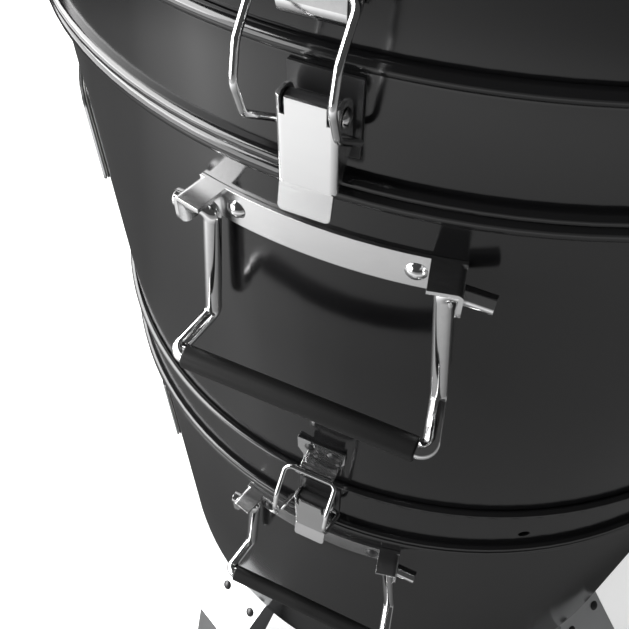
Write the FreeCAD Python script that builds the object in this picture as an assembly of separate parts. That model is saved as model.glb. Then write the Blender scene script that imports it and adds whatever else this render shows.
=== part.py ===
"""A stacked barrel oven: a bowl on four legs, a middle section and a domed lid, held by latches.

The barrel stands on Z, with its axis through the origin and the floor at zero. The front, with the latches
and handles, faces -Y. Sizes are in millimetres. An azimuth counts from the front towards +X. "Out" is the
distance from the barrel's axis, and "rise" the height above the underside of a section's double bead.
"""
import FreeCAD, Part

import math
import os

from FreeCAD import Vector

# Barrel sheet and fits
barrel_radius = 230.5
sheet = 1.2
nest_clearance = 0.5
seat_gap = 0.1
running_gap = 0.3
pin_gap = 0.05

# Double bead, collar and rolled rim at the top of the bowl and of the middle section
bead_depth = 5.5
bead_valley = 1.9
bead_split = 0.6
bead_height = 12.7
ledge_rise = 2.0
rim_rise = 56.2
rim_roll = 2.9

# Heights
bowl_floor = 90.0
bowl_corner = 70.0
bowl_height = 345.0
section_pitch = 269.0
lid_wall = 126.0
lid_corner = 90.0
lid_dome = 125.0

# Probe port through a collar and the skirt nested in it
port_azimuth = 29.6
port_rise = 25.7
port_radius = 3.4

# Latch base with its rolled hinge barrel
base_half = 12.4
base_gauge = 1.2
base_rise = 19.6
base_height = 29.0
pivot_rise = 40.0
pivot_standoff = 8.3
pivot_pin = 1.6
barrel_wall = 2.4
pin_head = 3.2
pin_dome = 1.6

# Latch lever, measured from its pivot
lever_half = 10.2
lever_gauge = 1.2
lever_corner = 2.2
lever_front = 6.1
lever_top = 5.8
lever_drop = 26.3
lever_back = 6.0
lever_nose = 5.4
lever_shoulder = 14.0
tab_half = 9.4
tab_length = 10.7
tab_flare = 13.0
tab_corner = 2.0
slot_width = 1.7
slot_depth = 6.0
slot_edge = 1.4

# Bail wire, measured from its own pivot in the lever
bail_wire = 1.25
bail_half = 14.5
bail_end_bend = 4.0
bail_bow_bend = 8.0
bail_pivot_in = 3.5
bail_pivot_drop = 10.5
bail_end = 0.8
bail_knee_out = 19.5
bail_knee_rise = 15.0
bail_bow_out = 23.5
bail_bow_rise = 27.5
bail_shoulder_out = 20.0
bail_shoulder_rise = 38.5
bail_bar_gap = 0.45
bail_bar_rise = 50.5

# Keeper hook on the section above
keeper_half = 13.7
keeper_foot_half = 10.3
keeper_gauge = 1.5
keeper_rise = 73.0
keeper_gap = 9.2
keeper_lip = 4.5
keeper_taper = 6.5
keeper_plate = 17.0
keeper_rivet_half = 6.75
keeper_rivet_up = 10.6

# Carrying handle: strap with hangers, rod and grip
strap_drop = 18.1
strap_height = 16.2
strap_gauge = 1.75
strap_rivet_half = 36.4
strap_turn = -0.4
hanger_angle = 13.4
hanger_round = 7.0
hanger_fold = 2.8
eye_drop = 1.8
shelf_width = 13.0
shelf_depth = 16.3
handle_pivot_out = 2.6
handle_pivot_drop = 7.6
rod_radius = 3.75
rod_bend = 4.2
rod_tip_left = 62.0
rod_tip_right = 65.5
rod_elbow_gap = 0.3
rod_splay = 7.0
rod_drop = 66.0
rod_reach = 25.4
rod_sag = 3.5
grip_length = 107.6
grip_radius = 5.4
grip_end_gap = 1.2

# Rivets of the straps and keepers
rivet_shank = 2.4
rivet_head = 4.3
rivet_dome = 2.3
rivet_tail = 1.2
keeper_rivet_shank = 1.6
keeper_rivet_head = 3.0
keeper_rivet_dome = 1.3

# Access doors
door_azimuth = -66.0
door_half = 71.0
door_gauge = 1.5
door_standoff = 2.3
door_corner = 8.0
door_overlap = 9.0
middle_door_drop = 65.0
middle_door_height = 61.5
bowl_door_drop = 70.0
bowl_door_height = 90.0
hinge_standoff = 6.0
hinge_drop = 4.0
hinge_pin = 1.5
hinge_wall = 1.8
hinge_half = 10.0
hinge_ear = 8.0
hinge_plate = 14.0
knob_drop = 14.0
knob_shaft = 3.0
knob_radius = 9.0
knob_depth = 6.0
tongue_half = 17.0
tongue_width = 8.0
tongue_gauge = 1.5

# Legs
leg_count = 4
leg_azimuth = -23.0
leg_half = 27.0
leg_gauge = 2.5
leg_slope = 45.0
leg_knee_reach = 37.5
leg_knee_drop = 2.0
leg_foot_reach = 58.0
leg_foot_depth = 26.0
leg_web = 26.0
cleat_depth = 8.0
cleat_length = 58.0
leg_bolt_half = 17.8
leg_bolt_setback = 43.0
leg_bolt_shank = 2.5
leg_bolt_head = 4.6
leg_bolt_dome = 2.4

# Lid handle
lid_handle_half = 62.0
lid_handle_rise = 46.0
lid_handle_foot = 10.0
lid_handle_foot_height = 4.0

# Dampers on the lid's crown and under the bowl
damper_radius = 42.0
damper_hole = 11.0
damper_circle = 25.0
damper_holes = 3
damper_tab = 14.0
lid_damper_tilt = 15.0
lid_damper_azimuth = 150.0
damper_pivot = 2.5
damper_pivot_head = 5.0
damper_pivot_dome = 2.0

# Thermometer on the lid's shoulder
dial_radius = 28.0
case_wall = 2.0
case_depth = 12.0
case_standoff = 5.0
boss_radius = 9.0
glass_gauge = 1.5
glass_inset = 1.0
dial_gauge = 1.0
needle_gauge = 0.6
needle_length = 20.0
needle_half = 1.4
needle_lift = 2.0
stem_radius = 4.0
stem_length = 55.0
nut_radius = 8.0
nut_depth = 5.0

# Grates, stone, pan and charcoal ring
grate_play = 5.0
pan_play = 11.0
grate_depth = 6.0
grate_ring = 7.0
bar_width = 4.0
bar_pitch = 24.0
bracket_count = 3
bracket_azimuth = 40.0
bracket_reach = 17.0
bracket_height = 16.0
bracket_gauge = 1.5
bracket_angle = 5.0
cooking_level = 140.0
charcoal_level = 90.0
pan_drop = 33.0
stone_radius = 185.0
stone_depth = 14.0
pan_depth = 55.0
pan_floor_radius = 165.0
pan_wall_radius = 200.0
ring_radius = 172.0
ring_height = 95.0
ring_hole = 8.0
ring_hole_count = 16

# Worked-out sizes
wall_inside = barrel_radius - sheet
collar_inside = barrel_radius + nest_clearance
collar_outside = collar_inside + sheet
bead_outside = barrel_radius + bead_depth
bowl_bead = bowl_floor + bowl_height
middle_bead = bowl_bead + section_pitch
bead_of = {"bowl": bowl_bead, "middle": middle_bead}
lid_shoulder = middle_bead + lid_wall
lid_crown_side = barrel_radius - lid_corner
lid_crown = (lid_crown_side**2 + lid_dome**2 - lid_corner**2) / (2 * (lid_dome - lid_corner))
lid_crown_centre = lid_shoulder + lid_dome - lid_crown
pivot_out = collar_outside + pivot_standoff
bail_out = pivot_out - bail_pivot_in
bail_rise = pivot_rise - bail_pivot_drop
handle_out = barrel_radius + handle_pivot_out
handle_drop = strap_drop + handle_pivot_drop
near_turn = math.radians(hanger_angle - abs(strap_turn))
eye_across = handle_out * math.tan(math.radians(hanger_angle))
eye_inside = (handle_out - rod_radius) * math.tan(near_turn) - strap_gauge / math.cos(near_turn)
rod_elbow = eye_inside - rod_bend - rod_elbow_gap
keeper_front = barrel_radius + seat_gap + keeper_gap + 2 * keeper_gauge
rod_corner = grip_length / 2 + rod_bend + grip_end_gap
door_inside = barrel_radius + door_standoff
door_outside = door_inside + door_gauge
hinge_out = barrel_radius + hinge_standoff
leg_knee_out = barrel_radius + leg_knee_reach
leg_knee_height = bowl_floor - leg_knee_drop
leg_foot_out = barrel_radius + leg_foot_reach
sides = {"front": 0.0, "back": 180.0}

ORIGIN = Vector(0, 0, 0)
X = Vector(1, 0, 0)
Y = Vector(0, 1, 0)
Z = Vector(0, 0, 1)


def line(a, b):
    """A straight edge between two points."""
    return Part.LineSegment(a, b).toShape()


def arc(a, middle, b):
    """A circular edge through three points."""
    return Part.Arc(a, middle, b).toShape()


def at(out, height):
    """A point of a profile that is turned about the barrel's axis."""
    return Vector(out, 0, height)


def turned(edges):
    """The solid that a closed profile of edges sweeps about Z."""
    return Part.Face(Part.Wire(edges)).revolve(ORIGIN, Z, 360)


def half_turned(edges):
    """The front and back halves that a closed profile sweeps about Z, with a hairline seam on each side."""
    seam = math.degrees(seat_gap / barrel_radius)
    back = Part.Face(Part.Wire(edges)).revolve(ORIGIN, Z, 180 - seam)
    back.rotate(ORIGIN, Z, seam / 2)
    front = back.copy()
    front.rotate(ORIGIN, Z, 180)
    return [front, back]


def turned_outline(points):
    """The solid that a polygon of (out, height) pairs sweeps about Z."""
    corners = [at(*p) for p in points]
    return Part.Face(Part.makePolygon(corners + corners[:1])).revolve(ORIGIN, Z, 360)


def sector(inner, outer, low, high, half_angle):
    """A piece of a tube about Z, centred on the front."""
    corners = [at(inner, low), at(outer, low), at(outer, high), at(inner, high)]
    piece = Part.Face(Part.makePolygon(corners + corners[:1])).revolve(ORIGIN, Z, 2 * half_angle)
    piece.rotate(ORIGIN, Z, -90 - half_angle)
    return piece


def block(half, out_low, out_high, low, high):
    """A box at the front, from -half to half in X."""
    return Part.makeBox(2 * half, out_high - out_low, high - low, Vector(-half, -out_high, low))


def side_prism(points, half):
    """A polygon of (out, height) pairs at the front, drawn out from -half to half in X."""
    corners = [Vector(-half, -out, height) for out, height in points]
    return Part.Face(Part.makePolygon(corners + corners[:1])).extrude(X * (2 * half))


def rounded_prism(half, low, high, corner, out_low, out_high):
    """An upright rounded rectangle at the front, drawn out from out_low to out_high."""
    prism = block(half, out_low, out_high, low, high)
    along = [e for e in prism.Edges if abs(e.tangentAt(e.FirstParameter).y) > 0.9]
    return prism.makeFillet(corner, along)


def facing_out(shape, out, height, azimuth=0.0, across=0.0):
    """Lays a shape built up along Z so that it points outward at a place on the barrel."""
    laid = shape.copy()
    laid.rotate(ORIGIN, X, 90)
    laid.translate(Vector(across, -out, height))
    laid.rotate(ORIGIN, Z, azimuth)
    return laid


def placed(shape, azimuth=0.0, lift=0.0):
    """A copy of a shape built at the front, lifted and turned to its azimuth."""
    copy = shape.copy()
    copy.translate(Vector(0, 0, lift))
    copy.rotate(ORIGIN, Z, azimuth)
    return copy


def joined(*shapes):
    """One solid from shapes that touch or overlap."""
    return shapes[0].multiFuse(list(shapes[1:])).removeSplitter()


def group(shapes):
    """Several separate solids in one node."""
    return Part.makeCompound(list(shapes))


def bent_rod(points, bends, radius):
    """A round rod along straight runs, with one bend radius given for each inner point."""
    edges = []
    start = points[0]
    for before, corner, after, bend in zip(points, points[1:], points[2:], bends):
        back = (before - corner).normalize()
        ahead = (after - corner).normalize()
        half_turn = back.getAngle(ahead) / 2
        setback = bend / math.tan(half_turn)
        inward = (back + ahead).normalize()
        crest = corner + inward * (bend / math.sin(half_turn) - bend)
        entry = corner + back * setback
        leave = corner + ahead * setback
        edges += [line(start, entry), arc(entry, crest, leave)]
        start = leave
    edges.append(line(start, points[-1]))
    section = Part.Wire(Part.makeCircle(radius, points[0], points[1] - points[0]))
    return Part.Wire(edges).makePipeShell([section], True, False)


def dome_arc(radius, base, top):
    """A profile arc from a rim at a base height up to the axis, part of a sphere about the axis."""
    height = top - base
    ball = (radius**2 + height**2) / (2 * height)
    half = math.asin(radius / ball) / 2
    middle = at(ball * math.sin(half), top - ball + ball * math.cos(half))
    return arc(at(radius, base), middle, at(0, top))


def dome_rivet(shank, head, dome, grip, tail):
    """A rivet along Z with a domed head above zero, a shank down to -grip and a flat tail below."""
    edges = [
        line(at(0, -grip - tail), at(head, -grip - tail)),
        line(at(head, -grip - tail), at(head, -grip)),
        line(at(head, -grip), at(shank, -grip)),
        line(at(shank, -grip), at(shank, 0)),
        line(at(shank, 0), at(head, 0)),
        dome_arc(head, 0, dome),
        line(at(0, dome), at(0, -grip - tail)),
    ]
    return turned(edges)


def collar_edges(bead):
    """The outer and inner edges of a section's top, from its wall outside to its wall inside."""
    valley = bead_outside - bead_valley
    low_half = bead_height * bead_split / 2
    high_half = bead_height / 2 - low_half
    low_out = bead_outside - low_half
    high_out = bead_outside - high_half
    middle = bead + 2 * low_half
    top = bead + bead_height
    roll_out = (collar_inside + collar_outside) / 2
    roll_height = bead + rim_rise - rim_roll
    chord = math.sqrt(rim_roll**2 - (sheet / 2) ** 2)
    ledge = bead + ledge_rise
    return [
        line(at(barrel_radius, bead), at(low_out, bead)),
        arc(at(low_out, bead), at(bead_outside, bead + low_half), at(valley, middle)),
        arc(at(valley, middle), at(bead_outside, middle + high_half), at(high_out, top)),
        line(at(high_out, top), at(collar_outside, top)),
        line(at(collar_outside, top), at(collar_outside, roll_height - chord)),
        arc(
            at(collar_outside, roll_height - chord),
            at(roll_out + rim_roll, roll_height),
            at(collar_inside, roll_height + chord),
        ),
        line(at(collar_inside, roll_height + chord), at(collar_inside, ledge)),
        line(at(collar_inside, ledge), at(wall_inside, ledge)),
    ]


def corner_arc(centre_out, centre_height, radius, start, end):
    """A profile arc about a centre, between two angles in degrees above the horizontal."""
    def on(angle):
        turn = math.radians(angle)
        return at(centre_out + radius * math.cos(turn), centre_height + radius * math.sin(turn))

    return arc(on(start), on((start + end) / 2), on(end))


def bowl_outer(gap):
    """The bowl's outside below its bead as a full solid, grown by a gap."""
    centre_out = barrel_radius - bowl_corner
    centre_height = bowl_floor + bowl_corner
    outside = barrel_radius + gap
    bottom = bowl_floor - gap
    return turned(
        [
            line(at(0, bottom), at(centre_out, bottom)),
            corner_arc(centre_out, centre_height, bowl_corner + gap, -90, 0),
            line(at(outside, centre_height), at(outside, bowl_bead)),
            line(at(outside, bowl_bead), at(0, bowl_bead)),
            line(at(0, bowl_bead), at(0, bottom)),
        ]
    )


def radial_hole(radius, azimuth, height, across=0.0):
    """A cutter for a round hole through the barrel's wall."""
    depth = bead_outside + bead_depth
    start = wall_inside - bead_depth
    return facing_out(Part.makeCylinder(radius, depth - start), start, height, azimuth, across)


def strap_rivet_angle():
    """The azimuth of a strap's rivet from the strap's middle."""
    return math.degrees(math.asin(strap_rivet_half / barrel_radius))


def handle_holes(bead):
    """Cutters for the rivets of a section's two handle straps."""
    height = bead - strap_drop - strap_height / 2
    turn = strap_rivet_angle()
    return [
        radial_hole(rivet_shank + pin_gap, azimuth + strap_turn + sign * turn, height)
        for azimuth in sides.values()
        for sign in (-1, 1)
    ]


def keeper_rivet_height(bead):
    """The height of the rivets in the plate of a keeper above the given bead."""
    return bead + keeper_rise + keeper_rivet_up


def keeper_holes(bead):
    """Cutters for the rivets of the two keepers above the given bead."""
    return [
        radial_hole(keeper_rivet_shank + pin_gap, azimuth, keeper_rivet_height(bead), sign * keeper_rivet_half)
        for azimuth in sides.values()
        for sign in (-1, 1)
    ]


def door_window(bead, drop, height):
    """A cutter for the opening behind an access door."""
    top = bead - drop - door_overlap
    bottom = bead - drop - height + door_overlap
    cutter = rounded_prism(
        door_half - door_overlap, bottom, top, door_corner, wall_inside * 0.8, bead_outside + bead_depth
    )
    return placed(cutter, door_azimuth)


def damper_cutters(depth):
    """Upright cutters for a damper's ring of holes, centred on Z."""
    cutters = []
    for index in range(damper_holes):
        turn = 2 * math.pi * index / damper_holes
        centre = Vector(damper_circle * math.cos(turn), damper_circle * math.sin(turn), -depth / 2)
        cutters.append(Part.makeCylinder(damper_hole, depth, centre))
    return cutters


def on_crown(shape):
    """Moves a shape built about Z on the crown's centre to the lid damper's place."""
    moved = shape.copy()
    moved.rotate(ORIGIN, X, lid_damper_tilt)
    moved.translate(Vector(0, 0, lid_crown_centre))
    moved.rotate(ORIGIN, Z, lid_damper_azimuth)
    return moved


def at_shoulder(shape):
    """Moves a shape built up along Z to stand square on the lid's rounded shoulder at the front."""
    slope = 45.0
    turn = math.radians(slope)
    moved = shape.copy()
    moved.rotate(ORIGIN, X, slope)
    out = lid_crown_side + lid_corner * math.cos(turn)
    height = lid_shoulder + lid_corner * math.sin(turn)
    moved.translate(Vector(0, -out, height))
    return moved


def lid_shell():
    """The lid: a skirt that nests in the collar below, a rounded shoulder and a domed crown."""
    rest = middle_bead + ledge_rise
    tangent = math.degrees(math.acos(lid_crown_side / (lid_crown - lid_corner)))
    inner_corner = lid_corner - sheet
    inner_crown = lid_crown - sheet
    shell = turned(
        [
            line(at(wall_inside, rest), at(barrel_radius, rest)),
            line(at(barrel_radius, rest), at(barrel_radius, lid_shoulder)),
            corner_arc(lid_crown_side, lid_shoulder, lid_corner, 0, tangent),
            corner_arc(0, lid_crown_centre, lid_crown, tangent, 90),
            line(at(0, lid_crown_centre + lid_crown), at(0, lid_crown_centre + inner_crown)),
            corner_arc(0, lid_crown_centre, inner_crown, 90, tangent),
            corner_arc(lid_crown_side, lid_shoulder, inner_corner, tangent, 0),
            line(at(wall_inside, lid_shoulder), at(wall_inside, rest)),
        ]
    )
    cutters = [radial_hole(port_radius, port_azimuth, middle_bead + port_rise)]
    cutters += keeper_holes(middle_bead)
    for cutter in damper_cutters(lid_dome):
        cutter.translate(Vector(0, 0, lid_crown))
        cutters.append(on_crown(cutter))
    pivot = Part.makeCylinder(damper_pivot + pin_gap, lid_dome, Vector(0, 0, lid_crown - lid_dome / 2))
    cutters.append(on_crown(pivot))
    stem = Part.makeCylinder(stem_radius + pin_gap, 2 * lid_corner, Vector(0, 0, -lid_corner))
    cutters.append(at_shoulder(stem))
    return shell.cut(cutters)


def middle_shell():
    """The middle section: two half tubes with a skirt below and a bead, collar and rim on top."""
    rest = bowl_bead + ledge_rise
    halves = half_turned(
        [
            line(at(wall_inside, rest), at(barrel_radius, rest)),
            line(at(barrel_radius, rest), at(barrel_radius, middle_bead)),
            *collar_edges(middle_bead),
            line(at(wall_inside, middle_bead + ledge_rise), at(wall_inside, rest)),
        ]
    )
    cutters = [radial_hole(port_radius, port_azimuth, bead + port_rise) for bead in bead_of.values()]
    cutters += handle_holes(middle_bead) + keeper_holes(bowl_bead)
    cutters.append(door_window(middle_bead, middle_door_drop, middle_door_height))
    return group(half.cut(cutters) for half in halves)


def bowl_shell():
    """The bowl: a rounded bottom, a straight wall and a bead, collar and rim on top."""
    centre_out = barrel_radius - bowl_corner
    centre_height = bowl_floor + bowl_corner
    inside = bowl_floor + sheet
    shell = turned(
        [
            line(at(0, bowl_floor), at(centre_out, bowl_floor)),
            corner_arc(centre_out, centre_height, bowl_corner, -90, 0),
            line(at(barrel_radius, centre_height), at(barrel_radius, bowl_bead)),
            *collar_edges(bowl_bead),
            line(at(wall_inside, bowl_bead + ledge_rise), at(wall_inside, centre_height)),
            corner_arc(centre_out, centre_height, bowl_corner - sheet, 0, -90),
            line(at(centre_out, inside), at(0, inside)),
            line(at(0, inside), at(0, bowl_floor)),
        ]
    )
    cutters = [radial_hole(port_radius, port_azimuth, bowl_bead + port_rise)]
    cutters += handle_holes(bowl_bead)
    cutters.append(door_window(bowl_bead, bowl_door_drop, bowl_door_height))
    pivot = Part.makeCylinder(damper_pivot + pin_gap, bowl_corner, Vector(0, 0, bowl_floor - bowl_corner / 2))
    cutters.append(pivot)
    cutters += [placed(cutter, 0, bowl_floor) for cutter in damper_cutters(bowl_corner)]
    return shell.cut(cutters)


def crosswise(radius, half, out, height):
    """A round bar along X at the front."""
    return Part.makeCylinder(radius, 2 * half, Vector(-half, -out, height), X)


def barrel_half():
    """Half the length of a latch base's hinge barrel, clear of the lever's flanges."""
    return lever_half - lever_gauge - running_gap


def latch_base():
    """A plate on the collar with a rolled barrel that holds the lever's pin."""
    back = collar_outside + seat_gap
    half_angle = math.degrees(math.asin(base_half / collar_outside))
    plate = sector(back, back + base_gauge, base_rise, base_rise + base_height, half_angle)
    outer = pivot_pin + barrel_wall
    barrel = crosswise(outer, barrel_half(), pivot_out, pivot_rise)
    neck = block(barrel_half(), back + base_gauge / 2, pivot_out, pivot_rise - outer, pivot_rise)
    bore = crosswise(pivot_pin + pin_gap, 2 * lever_half, pivot_out, pivot_rise)
    return joined(plate, barrel, neck).cut(bore)


def latch_pin():
    """The lever's pin with a domed head at each end."""
    end = lever_half + running_gap
    pin = crosswise(pivot_pin, end, pivot_out, pivot_rise)
    head = turned(
        [
            line(at(0, 0), at(pin_head, 0)),
            dome_arc(pin_head, 0, pin_dome),
            line(at(0, pin_dome), at(0, 0)),
        ]
    )
    heads = []
    for sign in (-1, 1):
        cap = head.copy()
        cap.rotate(ORIGIN, Y, sign * 90)
        cap.translate(Vector(sign * end, -pivot_out, pivot_rise))
        heads.append(cap)
    return joined(pin, *heads)


def channel(half, gauge, corner, back_out, front_out, low, high):
    """An upright folded channel, open at the back, with rounded front folds."""
    outer = block(half, back_out, front_out, low, high)
    inner = block(half - gauge, back_out - gauge, front_out - gauge, low - gauge, high + gauge)
    fronts = [e for e in outer.Edges if e.BoundBox.YMax < -front_out + gauge / 2 and e.BoundBox.ZLength > gauge]
    folds = [e for e in inner.Edges if e.BoundBox.YMax < gauge * 1.5 - front_out and e.BoundBox.ZLength > gauge]
    return outer.makeFillet(corner, fronts).cut(inner.makeFillet(corner - gauge / 2, folds))


def lever_sides():
    """The lever's outline seen from the side: a nose round the pivot, a shoulder at the bail's pivot."""
    def rel(out, rise):
        return Vector(-lever_half, -(pivot_out + out), pivot_rise + rise)

    diagonal = lever_nose * math.sqrt(0.5)
    edges = [
        line(rel(lever_front, lever_top), rel(lever_front, -lever_drop)),
        line(rel(lever_front, -lever_drop), rel(lever_front - lever_corner, -lever_drop)),
        line(rel(lever_front - lever_corner, -lever_drop), rel(-lever_back, -lever_shoulder)),
        line(rel(-lever_back, -lever_shoulder), rel(-lever_nose, 0)),
        arc(rel(-lever_nose, 0), rel(-diagonal, diagonal), rel(0, lever_nose)),
        line(rel(0, lever_nose), rel(lever_front, lever_top)),
    ]
    return Part.Face(Part.Wire(edges)).extrude(X * (2 * lever_half))


def lever_tab():
    """The lever's finger tab, folded a little outward below the front plate."""
    front = pivot_out + lever_front
    fold = pivot_rise - lever_drop
    tab = rounded_prism(tab_half, fold - tab_length, fold + tab_corner, tab_corner, front - lever_gauge, front)
    tab = joined(tab, block(tab_half, front - lever_gauge, front, fold - tab_corner, fold + tab_corner))
    tab = tab.cut(block(2 * lever_half, front - tab_length, front + tab_length, fold, fold + tab_length))
    tab.rotate(Vector(0, lever_gauge - front, fold), X, -tab_flare)
    return tab


def lever():
    """A folded latch lever with a finger tab and two slots at its top corners."""
    front = pivot_out + lever_front
    low = pivot_rise - lever_drop
    high = pivot_rise + lever_top
    folded = channel(lever_half, lever_gauge, lever_corner, pivot_out - 2 * lever_back, front, low, high)
    body = joined(folded.common(lever_sides()), lever_tab())
    middle = lever_half - lever_gauge - slot_edge
    cutters = [
        crosswise(pivot_pin + pin_gap, 2 * lever_half, pivot_out, pivot_rise),
        crosswise(bail_wire + pin_gap, 2 * lever_half, bail_out, bail_rise),
    ]
    for sign in (-1, 1):
        slot = block(slot_width / 2, front - lever_corner, front + lever_gauge, high - slot_depth, high + slot_depth)
        slot.translate(Vector(sign * middle, 0, 0))
        cutters.append(slot)
    return body.cut(cutters)


def bail():
    """A bowed wire loop: ends turned into the lever's flanges, and a bar in front of the keeper's lip."""
    inner = lever_half - lever_gauge - bail_end
    bar_out = keeper_front + bail_bar_gap + bail_wire - bail_out

    def rel(across, out, rise):
        return Vector(across, -(bail_out + out), bail_rise + rise)

    left = [
        rel(-inner, 0, 0),
        rel(-bail_half, 0, 0),
        rel(-bail_half, bail_knee_out, bail_knee_rise),
        rel(-bail_half, bail_bow_out, bail_bow_rise),
        rel(-bail_half, bail_shoulder_out, bail_shoulder_rise),
        rel(-bail_half, bar_out, bail_bar_rise),
    ]
    right = [Vector(-p.x, p.y, p.z) for p in reversed(left)]
    bends = [bail_end_bend, bail_bow_bend, bail_bow_bend, bail_bow_bend, bail_end_bend]
    return bent_rod(left + right, bends + bends[::-1], bail_wire)


def keeper_back():
    """The keeper's flat plate on the wall, narrower at its foot."""
    half = [
        (keeper_foot_half, keeper_rise),
        (keeper_half, keeper_rise + keeper_taper),
        (keeper_half, keeper_rise + keeper_plate),
    ]
    outline = half + [(-across, rise) for across, rise in reversed(half)]
    corners = [Vector(across, -barrel_radius - seat_gap, rise) for across, rise in outline]
    return Part.Face(Part.makePolygon(corners + corners[:1])).extrude(Y * -keeper_gauge)


def keeper():
    """A hook bent from plate: a flat back on the wall, a round bottom and a plain lip."""
    outer = keeper_gap / 2 + keeper_gauge
    centre_out = keeper_front - outer
    tube = crosswise(outer, keeper_foot_half, centre_out, keeper_rise)
    above = block(keeper_half, 0, keeper_front + outer, keeper_rise, keeper_rise + outer)
    lip_top = keeper_rise + keeper_lip
    lip = block(keeper_foot_half, keeper_front - keeper_gauge, keeper_front, keeper_rise, lip_top)
    bore = crosswise(keeper_gap / 2, 2 * keeper_half, centre_out, keeper_rise)
    hook = joined(tube.cut(above), keeper_back(), lip).cut(bore)
    shanks = []
    for sign in (-1, 1):
        shank = Part.makeCylinder(keeper_rivet_shank + pin_gap, outer)
        shanks.append(facing_out(shank, barrel_radius, keeper_rivet_height(0), 0, sign * keeper_rivet_half))
    return hook.cut(shanks)


def keeper_rivet():
    """A small rivet through a keeper's plate and the wall, along Z."""
    reach = keeper_rivet_half + keeper_rivet_head
    fall = wall_inside - math.sqrt(wall_inside**2 - reach**2)
    grip = keeper_gauge + 2 * seat_gap + sheet + seat_gap + fall
    return dome_rivet(keeper_rivet_shank, keeper_rivet_head, keeper_rivet_dome, grip, keeper_rivet_dome)


def keeper_rivets(bead):
    """The rivets of the two keepers above the given bead."""
    out = barrel_radius + 2 * seat_gap + keeper_gauge
    height = keeper_rivet_height(bead)
    return group(
        facing_out(keeper_rivet(), out, height, azimuth, sign * keeper_rivet_half)
        for azimuth in sides.values()
        for sign in (-1, 1)
    )


def hanger(sign):
    """One end of a handle strap: a shelf folded out of its top and an eye plate folded down."""
    top = -strap_drop
    front = barrel_radius + shelf_depth
    shelf = block(shelf_width / 2, barrel_radius - shelf_width, front, top - strap_gauge, top)
    shelf.translate(Vector(-shelf_width / 2, 0, 0))
    eye_out = front - hanger_round
    eye = crosswise(hanger_round, strap_gauge / 2, eye_out, -handle_drop - eye_drop)
    web = block(strap_gauge / 2, eye_out - hanger_round, front, -handle_drop - eye_drop, top)
    plate = eye.fuse(web)
    plate.translate(Vector(-strap_gauge / 2, 0, 0))
    end = joined(shelf, plate)
    fold = [e for e in end.Edges if e.BoundBox.XMin > -seat_gap and e.BoundBox.ZMin > top - seat_gap]
    end = end.makeFillet(hanger_fold, fold)
    end.rotate(ORIGIN, Z, hanger_angle)
    return end if sign > 0 else end.mirror(ORIGIN, X)


def handle_strap():
    """A curved strap on the wall with a hanger at each end for the rod."""
    back = barrel_radius + seat_gap
    band = sector(back, back + strap_gauge, -strap_drop - strap_height, -strap_drop, hanger_angle)
    clear = Part.makeCylinder(back, 4 * strap_height, Vector(0, 0, -strap_drop - 3 * strap_height))
    ends = [hanger(sign).cut(clear) for sign in (-1, 1)]
    strap = joined(band, *ends)
    strap.rotate(ORIGIN, Z, strap_turn)
    height = -strap_drop - strap_height / 2
    holes = []
    for sign in (-1, 1):
        eye = crosswise(rod_radius + pin_gap, hanger_round, handle_out, -handle_drop)
        eye.translate(Vector(sign * eye_across, 0, 0))
        shank = Part.makeCylinder(rivet_shank + pin_gap, shelf_width)
        angle = strap_turn + sign * strap_rivet_angle()
        holes.append(eye)
        holes.append(facing_out(shank, barrel_radius - strap_gauge, height, angle))
    return strap.cut(holes)


def strap_rivets(bead):
    """The rivets of a section's two handle straps."""
    out = barrel_radius + 2 * seat_gap + strap_gauge
    grip = strap_gauge + 2 * seat_gap + sheet + seat_gap
    height = bead - strap_drop - strap_height / 2
    turn = strap_rivet_angle()
    rivet = dome_rivet(rivet_shank, rivet_head, rivet_dome, grip, rivet_tail)
    return group(
        facing_out(rivet, out, height, azimuth + strap_turn + sign * turn)
        for azimuth in sides.values()
        for sign in (-1, 1)
    )


def grip_axis():
    """How far out, and how far below the bead, the grip's middle line lies."""
    return handle_out + rod_reach, -handle_drop - rod_drop - rod_sag


def handle_rod():
    """A bent rod: tips in the strap's eyes, splayed legs, and a straight run for the grip."""
    def rel(across, out, drop):
        return Vector(across, -(handle_out + out), -handle_drop - drop)

    half = [
        rel(rod_tip_right, 0, 0),
        rel(rod_elbow, 0, 0),
        rel(rod_elbow + rod_splay, 0, rod_drop),
        rel(rod_corner, rod_reach, rod_drop + rod_sag),
    ]
    other = [Vector(-p.x, p.y, p.z) for p in reversed(half[1:])]
    return bent_rod([*half, *other, rel(-rod_tip_left, 0, 0)], [rod_bend] * 6, rod_radius)


def handle_grip():
    """A tube on the rod's straight run."""
    out, height = grip_axis()
    grip = crosswise(grip_radius, grip_length / 2, out, height)
    rims = [e for e in grip.Edges if e.BoundBox.XLength < grip_radius / 2]
    grip = grip.makeFillet((grip_radius - rod_radius) / 2, rims)
    return grip.cut(crosswise(rod_radius + pin_gap, grip_length, out, height))


def door_edges(bead, drop, height):
    """The top, the bottom, the hinge line and the knob line of an access door."""
    top = bead - drop
    bottom = top - height
    return top, bottom, bottom - hinge_drop, top - knob_drop


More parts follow.
